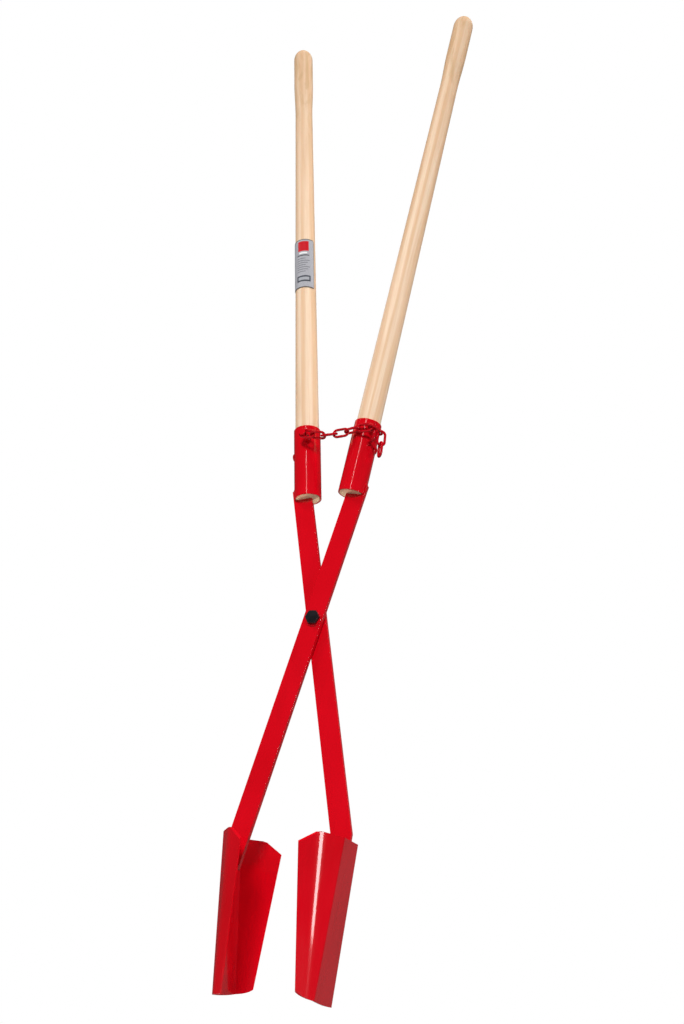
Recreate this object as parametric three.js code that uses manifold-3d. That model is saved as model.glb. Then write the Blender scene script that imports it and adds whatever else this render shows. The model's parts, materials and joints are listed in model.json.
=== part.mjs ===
// Post hole digger: two crossed arms on one pivot bolt. Each arm is a flat steel bar with a tubular
// socket and a wooden handle at its top, and a folded sheet blade at its bottom. A short chain between
// the sockets stops the handles opening too far.
//
// Millimetres, +Z up. The handles spread along X, the pivot bolt lies along Y, and -Y is the front.
// The blade tips stand on z = 0, under the middle of the tool.

import * as THREE from 'three';
import { mergeVertices } from 'three/addons/utils/BufferGeometryUtils.js';
import Module from 'manifold-3d';

// ---- driving dimensions ----

const GAP = 0.3;                    // clearance between pieces that touch

const BAR = { width: 30, thickness: 8, angle: 13, foot: -373 };
const ARM_OFFSET = 5;               // each bar's middle plane lies this far from y = 0
const PIVOT_DROP = 4;               // the pivot hole lies this far below the crossing of the bars

const SOCKET = {
  radius: 21.2,
  wall: 2,
  length: 121.5,
  lean: 5.65,                       // the socket turns back towards upright by this angle
  inset: 7.5,
  start: 199.4,                     // along the bar, from the crossing of the bars
  barDepth: 18,                     // how far the bar reaches up inside the socket
};
const HANDLE = {
  length: 950,
  footRadius: 18.9,
  neckRadius: 15.5,
  neckBelowTip: 160,
  gripRadius: 17.4,
  gripBelowTip: 85,
  domeHeight: 22,
};
const HANDLE_SCREW = { height: 77, headRadius: 6.5, headHeight: 2.6, shankRadius: 3, depth: 26 };

const BLADE = {
  sheet: 2.5,
  top: -331.2,                      // along the bar, from the crossing of the bars
  outset: 14.6,                     // outer face of the centre panel, from the bar's centre line
  lean: 18,                         // the centre panel leans in from the bar by this angle
  length: 208,
  bendShoulder: { top: 29, foot: 35.3 },            // half width between the two inner bends
  bendWing: { top: [59.9, 21.9], foot: [45, 7.1] },     // half width and depth of the outer bends
  edge: { top: [76.9, 48.1], foot: [52.5, 18.6] },      // half width and depth of the free edges
  cornerDrop: 22,
  footRise: 2.5,
  footCorners: [6, 16],             // rounding of the corners at -Y and +Y in the blade's own frame
  footSlant: 3.6,                   // the foot is cut at this angle to the centre line's normal
};

const PIVOT = { boltRadius: 6, hexAcrossFlats: 19, headHeight: 5.5, nutHeight: 10, tail: 4 };
const WASHER = { radius: 13, thickness: 1.4 };

const LINK = { wire: 4, inside: 19.5, width: 16 };
const CHAIN_Y = -34.8;
const ANCHOR = {
  x: -42,
  z: 296,
  boltRadius: 3,
  headAcrossFlats: 10,
  headHeight: 4,
  sleeveRadius: 5.5,
  bite: 12,                         // how far the bolt goes into the handle
};
const SAG = [13.2, 8.7, -3.5, -6.1, -12.4, 0];  // slope of links 1 to 6, down to the right, when open
const TWIST = [0, 62, 119, 180, 90, 0]; // turn of links 1 to 6 about the line of the chain
const SLANTED_GAP = 0.8;            // clearance between two links of which neither is upright
const TAIL_TURN = 40;               // link 7 swings round the socket by this angle
const TAIL_DROP = 22;               // and slopes down to the right by this angle
const HOOK = { radius: 2.5, bend: 7, footBelow: 17, tipAbove: 13, slip: 1 };

const LABEL = { from: 391.5, to: 492.5, facing: -3, span: 148, thickness: 0.5 };

// ---- materials ----

const FINISH = {
  paint: { color: 0xc20a1c, roughness: 0.28, metalness: 0.0 },
  wood: { color: 0xe8cfa4, roughness: 0.6, metalness: 0.0 },
  bolt: { color: 0x1d1e20, roughness: 0.45, metalness: 0.8 },
  zinc: { color: 0x8e9297, roughness: 0.4, metalness: 0.9 },
  label: { color: 0xb9b6ad, roughness: 0.5, metalness: 0.0 },
};

function piece(name, finish, geometry) {
  const mesh = new THREE.Mesh(geometry, new THREE.MeshStandardMaterial(FINISH[finish]));
  mesh.name = name;
  return mesh;
}

// ---- solid joins and cuts ----

const wasm = await Module();
wasm.setup();

function toSolid(geometry) {
  const bare = geometry.clone();
  bare.deleteAttribute('normal');
  bare.deleteAttribute('uv');
  const merged = mergeVertices(bare, 1e-4);
  const corners = [];
  for (let i = 0; i < merged.index.count; i += 3) {
    const [a, b, c] = [0, 1, 2].map((k) => merged.index.getX(i + k));
    if (a !== b && b !== c && c !== a) corners.push(a, b, c);
  }
  return new wasm.Manifold(new wasm.Mesh({
    numProp: 3,
    vertProperties: merged.attributes.position.array,
    triVerts: new Uint32Array(corners),
  }));
}

function toGeometry(solid) {
  const { vertProperties, triVerts } = solid.getMesh();
  const geometry = new THREE.BufferGeometry();
  geometry.setAttribute('position', new THREE.BufferAttribute(vertProperties, 3));
  geometry.setIndex(new THREE.BufferAttribute(triVerts, 1));
  geometry.computeVertexNormals();
  return geometry;
}

const cut = (body, ...tools) =>
  toGeometry(tools.reduce((solid, tool) => solid.subtract(toSolid(tool)), toSolid(body)));

const join = (body, ...extras) =>
  toGeometry(extras.reduce((solid, extra) => solid.add(toSolid(extra)), toSolid(body)));

const overlapOf = (a, b) => toGeometry(toSolid(a).intersect(toSolid(b)));

// ---- shape helpers ----

const rad = THREE.MathUtils.degToRad;

// A box from its lowest corner to its highest corner.
function box(low, high) {
  const [x, y, z] = high.map((value, axis) => value - low[axis]);
  const geometry = new THREE.BoxGeometry(x, y, z);
  return geometry.translate(low[0] + x / 2, low[1] + y / 2, low[2] + z / 2);
}

// A round rod along Y, from y = from to y = to.
function rodY(radius, from, to, sides = 20) {
  const rod = new THREE.CylinderGeometry(radius, radius, to - from, sides);
  return rod.translate(0, (from + to) / 2, 0);
}

// A hexagon prism along Y.
function hexY(acrossFlats, from, to) {
  return rodY(acrossFlats / Math.sqrt(3), from, to, 6);
}

// A ring along Y.
function ringY(inner, outer, from, to) {
  return cut(rodY(outer, from, to, 28), rodY(inner, from - 1, to + 1, 20));
}

// A profile of [radius, z] pairs turned about Z.
function turned(profile, sides = 28) {
  const points = profile.map(([radius, z]) => new THREE.Vector2(radius, z));
  return new THREE.LatheGeometry(points, sides).rotateX(Math.PI / 2);
}

// The matrix of a frame at (x, y, z), turned by degrees about Y.
function frameAt(x, y, z, degrees) {
  const turn = new THREE.Matrix4().makeRotationY(rad(degrees));
  return turn.setPosition(x, y, z);
}

function groupAt(matrix, ...children) {
  const group = new THREE.Group();
  group.applyMatrix4(matrix);
  group.add(...children);
  return group;
}

const between = (outer, inner) => new THREE.Matrix4().copy(outer).invert().multiply(inner);

// ---- frames inside one arm: the bar's own frame has Z along the bar ----

const socketFrame = frameAt(-SOCKET.inset, 0, SOCKET.start, -SOCKET.lean);
const bladeFrame = frameAt(-BLADE.outset, ARM_OFFSET, BLADE.top, -BLADE.lean);
const frontArmFrame = frameAt(0, -ARM_OFFSET, PIVOT_DROP, BAR.angle);
const rearArmFrame = new THREE.Matrix4().makeRotationZ(Math.PI).multiply(frontArmFrame);

// ---- one arm ----

function barBlank(clearance) {
  const halfWidth = BAR.width / 2 + clearance;
  const halfThickness = BAR.thickness / 2 + clearance;
  const top = SOCKET.start + SOCKET.barDepth + clearance;
  return box([-halfWidth, -halfThickness, BAR.foot], [halfWidth, halfThickness, top]);
}

function barShape(armFrame) {
  const behindBlade = box([-90, -30, -280], [BLADE.sheet + GAP, 30, 60]).applyMatrix4(bladeFrame);
  const toArm = between(armFrame, new THREE.Matrix4());
  const pivotHole = rodY(PIVOT.boltRadius + GAP, -40, 40).applyMatrix4(toArm);
  return cut(barBlank(0), behindBlade, pivotHole);
}

// The bar's clearance, seen from the socket, which the socket and the handle both make room for.
function barSlot() {
  return barBlank(GAP).applyMatrix4(between(socketFrame, new THREE.Matrix4()));
}

function screwHole() {
  const hole = rodY(HANDLE_SCREW.shankRadius + GAP, -60, HANDLE_SCREW.depth - SOCKET.radius + GAP);
  return hole.rotateZ(Math.PI / 2).translate(0, 0, HANDLE_SCREW.height);
}

function socketShape(extraCuts) {
  const inner = SOCKET.radius - SOCKET.wall;
  const profile = [
    [inner, 0], [SOCKET.radius, 0], [SOCKET.radius, SOCKET.length], [inner, SOCKET.length], [inner, 0],
  ];
  return cut(turned(profile, 40), barSlot(), screwHole(), ...extraCuts);
}

function handleShape(extraCuts) {
  const { length, footRadius, neckRadius, neckBelowTip, gripRadius, gripBelowTip, domeHeight } = HANDLE;
  const neck = length - neckBelowTip;
  const profile = [[0, 0], [footRadius, 0], [footRadius, SOCKET.length]];
  const taperSteps = 6;
  for (let i = 1; i <= taperSteps; i += 1) {
    const t = i / taperSteps;
    profile.push([footRadius + (neckRadius - footRadius) * t, SOCKET.length + (neck - SOCKET.length) * t]);
  }
  const swellSteps = 5;
  for (let i = 1; i <= swellSteps; i += 1) {
    const t = i / swellSteps;
    const swell = Math.sin((Math.PI / 2) * t) ** 2;
    profile.push([neckRadius + (gripRadius - neckRadius) * swell, neck + (neckBelowTip - gripBelowTip) * t]);
  }
  const domeSteps = 7;
  for (let i = 0; i <= domeSteps; i += 1) {
    const angle = (Math.PI / 2) * (i / domeSteps);
    const radius = i === domeSteps ? 0 : gripRadius * Math.cos(angle);
    profile.push([radius, length - domeHeight + domeHeight * Math.sin(angle)]);
  }
  return cut(turned(profile, 32), barSlot(), screwHole(), ...extraCuts);
}

// A wood screw with a domed head, driven in from the socket's outer side.
function handleScrewShape() {
  const { headRadius, headHeight, shankRadius, depth, height } = HANDLE_SCREW;
  const seat = SOCKET.radius + GAP;
  const profile = [
    [0, seat + headHeight],
    [headRadius * 0.55, seat + headHeight * 0.85],
    [headRadius * 0.9, seat + headHeight * 0.4],
    [headRadius, seat],
    [shankRadius, seat],
    [shankRadius, seat - depth + 5],
    [0, seat - depth],
  ];
  const alongX = new THREE.Matrix4().makeRotationY(Math.PI / 2);
  return turned(profile.reverse(), 20).applyMatrix4(alongX).translate(0, 0, height);
}

// Half of the blade's section at a share t of the way from the top to the foot, outer face first.
function bladeHalfSection(t) {
  const mix = (a, b) => a + (b - a) * t;
  const { bendShoulder, bendWing, edge } = BLADE;
  return [
    [mix(bendShoulder.top, bendShoulder.foot), 0],
    [mix(bendWing.top[0], bendWing.foot[0]), mix(bendWing.top[1], bendWing.foot[1])],
    [mix(edge.top[0], edge.foot[0]), mix(edge.top[1], edge.foot[1])],
  ];
}

// Moves an open outline inwards by the sheet's thickness, with mitred corners.
function offsetInside(points, distance) {
  const normals = points.slice(1).map(([y, x], i) => {
    const [y0, x0] = points[i];
    const size = Math.hypot(y - y0, x - x0);
    return [-(x - x0) / size, (y - y0) / size];
  });
  return points.map(([y, x], i) => {
    const before = normals[Math.max(i - 1, 0)];
    const after = normals[Math.min(i, normals.length - 1)];
    const sum = [before[0] + after[0], before[1] + after[1]];
    const scale = (2 * distance) / (sum[0] ** 2 + sum[1] ** 2);
    return [y + sum[0] * scale, x + sum[1] * scale];
  });
}

function bladeSection(t) {
  const half = bladeHalfSection(t);
  const outer = [...half.map(([y, x]) => [-y, x]).reverse(), ...half];
  return [...outer, ...offsetInside(outer, BLADE.sheet).reverse()];
}

// The folded sheet, tapering from its top section to its foot section.
function foldedSheet() {
  const [top, foot] = [bladeSection(-0.03), bladeSection(1.08)];
  const shape = new THREE.Shape(top.map(([y, x]) => new THREE.Vector2(y, x)));
  const high = 0.03 * BLADE.length;
  const low = -1.08 * BLADE.length;
  const sheet = new THREE.ExtrudeGeometry(shape, { depth: high - low, bevelEnabled: false });
  const position = sheet.attributes.position;
  for (let i = 0; i < position.count; i += 1) {
    const nearest = top.findIndex(([y, x]) => Math.hypot(position.getX(i) - y, position.getY(i) - x) < 1e-3);
    const atTop = position.getZ(i) < 1;
    const [y, x] = (atTop ? top : foot)[nearest];
    position.setXYZ(i, x, y, atTop ? high : low);
  }
  return sheet;
}

// The blade's front outline: chamfered top corners, and a slightly bowed foot that is cut at a slant.
function bladeOutline() {
  const { length, cornerDrop, footRise, footCorners, footSlant, bendWing, edge } = BLADE;
  const halfFoot = edge.foot[0] + 2;
  const arcRadius = (halfFoot ** 2 + footRise ** 2) / (2 * footRise);
  const sweeps = footCorners.map((corner) => Math.asin((halfFoot - corner) / arcRadius));
  const arcEnds = sweeps.map((sweep) => -length + arcRadius * (1 - Math.cos(sweep)));
  const outline = new THREE.Shape();
  outline.moveTo(-bendWing.top[0], 0);
  outline.lineTo(-edge.top[0], -cornerDrop);
  outline.lineTo(-edge.top[0] - 10, -cornerDrop - 20);
  outline.lineTo(-halfFoot - 1, -length + footRise + footCorners[0]);
  outline.quadraticCurveTo(-halfFoot, arcEnds[0], -halfFoot + footCorners[0], arcEnds[0]);
  outline.absarc(0, -length + arcRadius, arcRadius, -Math.PI / 2 - sweeps[0], -Math.PI / 2 + sweeps[1], false);
  outline.quadraticCurveTo(halfFoot, arcEnds[1], halfFoot + 1, -length + footRise + footCorners[1]);
  outline.lineTo(edge.top[0] + 10, -cornerDrop - 20);
  outline.lineTo(edge.top[0], -cornerDrop);
  outline.lineTo(bendWing.top[0], 0);
  const prism = new THREE.ExtrudeGeometry(outline, { depth: 80, bevelEnabled: false, curveSegments: 8 });
  // The outline is drawn in Y and Z, and the prism runs along X.
  const toYZ = new THREE.Matrix4().makeBasis(
    new THREE.Vector3(0, 1, 0), new THREE.Vector3(0, 0, 1), new THREE.Vector3(1, 0, 0));
  prism.applyMatrix4(toYZ).translate(-15, 0, 0);
  const position = prism.attributes.position;
  for (let i = 0; i < position.count; i += 1) {
    const z = position.getZ(i);
    if (z < -length / 2) position.setZ(i, z + position.getY(i) * Math.tan(rad(footSlant)));
  }
  return prism;
}

function bladeShape() {
  return overlapOf(foldedSheet(), bladeOutline());
}

// One whole arm: handleSide names the handle's side, and the blade is on the other side.
function arm(place, handleSide, bladeSide, armFrame, socketCuts) {
  const toSocket = between(new THREE.Matrix4().copy(armFrame).multiply(socketFrame), new THREE.Matrix4());
  const cuts = () => socketCuts.map((tool) => tool.clone().applyMatrix4(toSocket));
  const socketGroup = groupAt(socketFrame,
    piece(`${handleSide}_socket`, 'paint', socketShape(cuts())),
    piece(`${handleSide}_handle`, 'wood', handleShape(cuts())),
    piece(`${handleSide}_handle_screw`, 'paint', handleScrewShape()));
  const bladeGroup = groupAt(bladeFrame, piece(`${bladeSide}_blade`, 'paint', bladeShape()));
  const bar = piece(`${place}_arm_bar`, 'paint', barShape(armFrame));
  return groupAt(armFrame, bar, socketGroup, bladeGroup);
}

// ---- pivot ----

function pivotPieces() {
  const face = ARM_OFFSET + BAR.thickness / 2;
  const seat = face + GAP + WASHER.thickness + GAP;
  const nutEnd = seat + PIVOT.nutHeight;
  const head = hexY(PIVOT.hexAcrossFlats, -seat - PIVOT.headHeight, -seat);
  const shank = rodY(PIVOT.boltRadius, -seat - 1, nutEnd + PIVOT.tail);
  const hole = PIVOT.boltRadius + GAP;
  const washer = (middle) =>
    ringY(hole, WASHER.radius, middle - WASHER.thickness / 2, middle + WASHER.thickness / 2);
  const washerMiddle = face + GAP + WASHER.thickness / 2;
  const nut = cut(hexY(PIVOT.hexAcrossFlats, seat, nutEnd), rodY(hole, seat - 1, nutEnd + 1));
  return [
    piece('pivot_bolt', 'bolt', join(head, shank)),
    piece('pivot_front_washer', 'paint', washer(-washerMiddle)),
    piece('pivot_middle_washer', 'zinc', washer(0)),
    piece('pivot_rear_washer', 'zinc', washer(washerMiddle)),
    piece('pivot_nut', 'bolt', nut),
  ];
}

// ---- chain ----

const WIRE_RADIUS = LINK.wire / 2;
const BEND = (LINK.width - LINK.wire) / 2;          // radius of the wire's centre line at a link's end
const APEX = LINK.inside / 2 + WIRE_RADIUS;         // link centre to the wire's centre at its end
const HOLD = APEX - LINK.wire - GAP;                // link centre to the wire of the link it holds

// A straight-sided chain link lying in XZ, its length along X: a ring with its halves pulled apart.
function linkShape() {
  const link = new THREE.TorusGeometry(BEND, WIRE_RADIUS, 8, 18);
  const position = link.attributes.position;
  for (let i = 0; i < position.count; i += 1) {
    const x = position.getX(i);
    position.setX(i, x + Math.sign(x) * (APEX - BEND));
  }
  return link.rotateX(Math.PI / 2);
}

function linkAt(number, centre, slope, twist, heading = 0) {
  const link = piece(`chain_link_${number}`, 'paint', linkShape());
  link.position.copy(centre);
  link.rotation.set(rad(twist), rad(slope), rad(heading), 'ZYX');
  return link;
}

// Where each link of the open chain lies. Two links turn about the bend of the one that is upright,
// or about the middle of their contact if neither is.
function chainCentres() {
  const along = (slope) => new THREE.Vector3(Math.cos(rad(slope)), 0, -Math.sin(rad(slope)));
  const start = new THREE.Vector3(ANCHOR.x, CHAIN_Y, ANCHOR.z);
  const onBolt = LINK.inside / 2 - ANCHOR.boltRadius - GAP;
  const centres = [start.clone().addScaledVector(along(SAG[0]), onBolt)];
  for (let i = 1; i < TWIST.length; i += 1) {
    const upright = [i - 1, i].map((link) => TWIST[link] % 180 === 0);
    const pitch = APEX + HOLD - (upright.includes(true) ? 0 : SLANTED_GAP - GAP);
    let first = pitch / 2;
    if (upright[0]) first = APEX - BEND;
    if (upright[1]) first = pitch - APEX + BEND;
    const hinge = centres[i - 1].clone().addScaledVector(along(SAG[i - 1]), first);
    centres.push(hinge.addScaledVector(along(SAG[i]), pitch - first));
  }
  return centres;
}

function chainPieces() {
  const centres = chainCentres();
  const links = centres.map((centre, i) => linkAt(i + 1, centre, SAG[i], TWIST[i]));
  const turn = rad(TAIL_TURN);
  const drop = rad(TAIL_DROP);
  const level = new THREE.Vector3(Math.cos(turn), Math.sin(turn), 0);
  const round = level.multiplyScalar(Math.cos(drop)).setZ(-Math.sin(drop));
  const sixthEnd = centres.at(-1).clone().add(new THREE.Vector3(APEX, 0, 0));
  const seventh = sixthEnd.addScaledVector(round, HOLD - SLANTED_GAP);
  const eighth = seventh.clone().addScaledVector(round, APEX).add(new THREE.Vector3(0, 0, -HOLD));
  const ninth = eighth.clone().add(new THREE.Vector3(0, 0, -APEX - HOLD));
  links.push(linkAt(7, seventh, TAIL_DROP, 90, TAIL_TURN));
  links.push(linkAt(8, eighth, 90, 0, TAIL_TURN));
  links.push(linkAt(9, ninth, 90, 90, TAIL_TURN));
  return { links, seventh, round };
}

// A round rod welded to the right socket, bent up through link 7.
function hookShape(seventh, round) {
  const peg = seventh.clone().addScaledVector(round, -HOOK.slip);
  const low = peg.z - HOOK.footBelow;
  const socketBase = new THREE.Matrix4().copy(frontArmFrame).multiply(socketFrame);
  const base = new THREE.Vector3().setFromMatrixPosition(socketBase);
  const lean = Math.tan(rad(BAR.angle - SOCKET.lean));
  const axis = new THREE.Vector3(base.x + (low - base.z) * lean, base.y, low);
  const out = new THREE.Vector3(peg.x - axis.x, peg.y - axis.y, 0).normalize();
  const foot = axis.clone().addScaledVector(out, SOCKET.radius + GAP);
  const corner = new THREE.Vector3(peg.x, peg.y, low);
  const path = new THREE.CurvePath();
  const beforeBend = corner.clone().addScaledVector(out, -HOOK.bend);
  const afterBend = corner.clone().add(new THREE.Vector3(0, 0, HOOK.bend));
  const tip = new THREE.Vector3(peg.x, peg.y, peg.z + HOOK.tipAbove);
  path.add(new THREE.LineCurve3(foot, beforeBend));
  path.add(new THREE.QuadraticBezierCurve3(beforeBend, corner, afterBend));
  path.add(new THREE.LineCurve3(afterBend, tip));
  const section = new THREE.Shape().absarc(0, 0, HOOK.radius, 0, 2 * Math.PI, false);
  return new THREE.ExtrudeGeometry(section, { extrudePath: path, steps: 16, curveSegments: 5 });
}

function anchorHole() {
  const hole = rodY(ANCHOR.boltRadius + GAP, CHAIN_Y, anchorSurface() + ANCHOR.bite + GAP);
  return hole.translate(ANCHOR.x, 0, ANCHOR.z);
}

// The y of the left socket's front surface beside the anchor bolt.
function anchorSurface() {
  const { sleeveRadius } = ANCHOR;
  const socketBase = new THREE.Matrix4().copy(rearArmFrame).multiply(socketFrame);
  const base = new THREE.Vector3().setFromMatrixPosition(socketBase);
  const lean = Math.tan(rad(BAR.angle - SOCKET.lean));
  const axisX = base.x - (ANCHOR.z - base.z) * lean;
  const nearest = Math.max(0, Math.abs(ANCHOR.x - axisX) - sleeveRadius);
  return base.y - Math.sqrt(SOCKET.radius ** 2 - nearest ** 2);
}

function anchorPieces() {
  const surface = anchorSurface();
  const sleeveFront = CHAIN_Y + WIRE_RADIUS + GAP;
  const headBack = CHAIN_Y - WIRE_RADIUS - GAP;
  const head = hexY(ANCHOR.headAcrossFlats, headBack - ANCHOR.headHeight, headBack);
  const shank = rodY(ANCHOR.boltRadius, headBack - 1, surface + ANCHOR.bite, 16);
  const sleeve = ringY(ANCHOR.boltRadius + GAP, ANCHOR.sleeveRadius, sleeveFront, surface - GAP);
  return [
    piece('chain_anchor_bolt', 'paint', join(head, shank).translate(ANCHOR.x, 0, ANCHOR.z)),
    piece('chain_anchor_sleeve', 'paint', sleeve.translate(ANCHOR.x, 0, ANCHOR.z)),
  ];
}

// ---- label wrapped round the front of the left handle ----

function labelPiece() {
  const taperLength = HANDLE.length - HANDLE.neckBelowTip - SOCKET.length;
  const taper = (HANDLE.footRadius - HANDLE.neckRadius) / taperLength;
  const inner = HANDLE.footRadius - taper * (LABEL.from - SOCKET.length) + GAP;
  const outer = inner + LABEL.thickness;
  const middle = -Math.PI / 2 + rad(LABEL.facing);
  const half = rad(LABEL.span / 2);
  const patch = new THREE.Shape();
  patch.absarc(0, 0, outer, middle - half, middle + half, false);
  patch.absarc(0, 0, inner, middle + half, middle - half, true);
  patch.closePath();
  const geometry = new THREE.ExtrudeGeometry(patch, {
    depth: LABEL.to - LABEL.from, bevelEnabled: false, curveSegments: 18,
  });
  // The left arm's frame is turned half round about Z, so the label is turned back to face the front.
  return piece('handle_label', 'label', geometry.rotateZ(Math.PI).translate(0, 0, LABEL.from));
}

// ---- assembly ----

const frontArm = arm('front', 'right', 'left', frontArmFrame, []);
const rearArm = arm('rear', 'left', 'right', rearArmFrame, [anchorHole()]);
const leftHandleFrame = new THREE.Matrix4().copy(rearArmFrame).multiply(socketFrame);
const chain = chainPieces();

const digger = new THREE.Group();
digger.add(frontArm, rearArm);
digger.add(groupAt(leftHandleFrame, labelPiece()));
digger.add(...pivotPieces(), ...anchorPieces(), ...chain.links);
digger.add(piece('chain_hook', 'paint', hookShape(chain.seventh, chain.round)));

digger.position.z = -new THREE.Box3().setFromObject(digger, true).min.z;

export default digger;
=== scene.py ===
# Looks for the post hole digger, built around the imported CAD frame.
# Metres, +Z up, the same frame as the CAD. The handles spread along X and -Y is the front.
import json
import math

import bmesh
import bpy
import numpy as np
from mathutils import Matrix, Vector


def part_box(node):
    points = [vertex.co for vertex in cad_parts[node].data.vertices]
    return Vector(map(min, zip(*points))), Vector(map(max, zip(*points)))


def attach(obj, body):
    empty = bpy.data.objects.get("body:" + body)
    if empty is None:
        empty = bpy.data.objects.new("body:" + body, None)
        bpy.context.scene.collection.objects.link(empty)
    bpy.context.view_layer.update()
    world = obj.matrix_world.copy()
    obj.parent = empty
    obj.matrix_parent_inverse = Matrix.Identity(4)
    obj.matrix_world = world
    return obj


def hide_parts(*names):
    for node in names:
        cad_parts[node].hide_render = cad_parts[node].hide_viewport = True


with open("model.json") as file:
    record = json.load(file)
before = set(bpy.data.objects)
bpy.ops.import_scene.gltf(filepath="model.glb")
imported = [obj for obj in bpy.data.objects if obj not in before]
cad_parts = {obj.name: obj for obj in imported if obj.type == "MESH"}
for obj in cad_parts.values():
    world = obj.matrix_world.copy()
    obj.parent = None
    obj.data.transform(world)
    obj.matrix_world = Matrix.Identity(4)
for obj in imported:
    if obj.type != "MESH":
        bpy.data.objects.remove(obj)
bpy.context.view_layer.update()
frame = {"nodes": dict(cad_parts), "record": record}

MM = 0.001
NODES = frame["nodes"]
BODY_OF = {node: body for body, nodes in frame["record"]["behaviour"]["bodies"].items() for node in nodes}
MOUNTS = {mount["name"]: mount for mount in frame["record"]["mounts"]}

# ---- dimensions that the visual pieces share with the CAD, in millimetres and degrees ----

LEAN = dict(bar=13.0, handle=7.35)
BAR = dict(half_width=15.0, half_thickness=4.0, rounding=0.9)
GAP = 0.3
SOCKET = dict(radius=21.2, wall=2.0, length=121.5, rim=0.5)
HANDLE = dict(length=950, foot=18.9, foot_edge=0.8, neck=15.5, neck_below_tip=160, grip=17.4,
              grip_below_tip=85, dome=22)
SCREW = dict(height=77, head_radius=6.5, head_height=2.6, shank_radius=3.0, length=25)
PIVOT = dict(bolt=6.0, across=19.0, head=5.5, nut=10.0, chamfer=1.1)
ANCHOR = dict(bolt=3.0, across=10.0, head=4.0, chamfer=0.6)
LINK = dict(wire=4.0, bend=6.0, apex=11.75)
HOOK = dict(wire=5.0, bend=7.0)
# A blade is a folded sheet, alike on both sides of its middle. Each corner of its outer face is given as
# (half width, depth) at the top and at the foot, and each bend's radius at the top and at the foot.
BLADE = dict(
    sheet=2.5, length=208, mount_below_top=100,
    shoulder=((29.0, 0.0), (35.3, 0.0)),
    wing=((59.9, 21.9), (45.0, 7.1)),
    edge=((76.9, 48.1), (52.5, 18.6)),
    corner_drop=22, foot_rise=2.5, foot_corners=(6, 16), foot_slant=3.6,
    bend_radius=((6.0, 6.0), (56.0, 26.0)),
)

# ---- camera, at the photograph's viewpoint, in millimetres and degrees ----

# It stands to the right of the front and below the pivot. The distance is taken back from the bars'
# crossing, which is a little above the bolt, and aside moves the camera to its own right and up.
CAMERA = dict(yaw=21.35, below=23.33, roll=6.22, distance=1765.06, aside=(38.728, 155.797),
              crossing_above_bolt=4.0, lens=41.98, sensor=36)


# ---- node helpers ----

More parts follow.
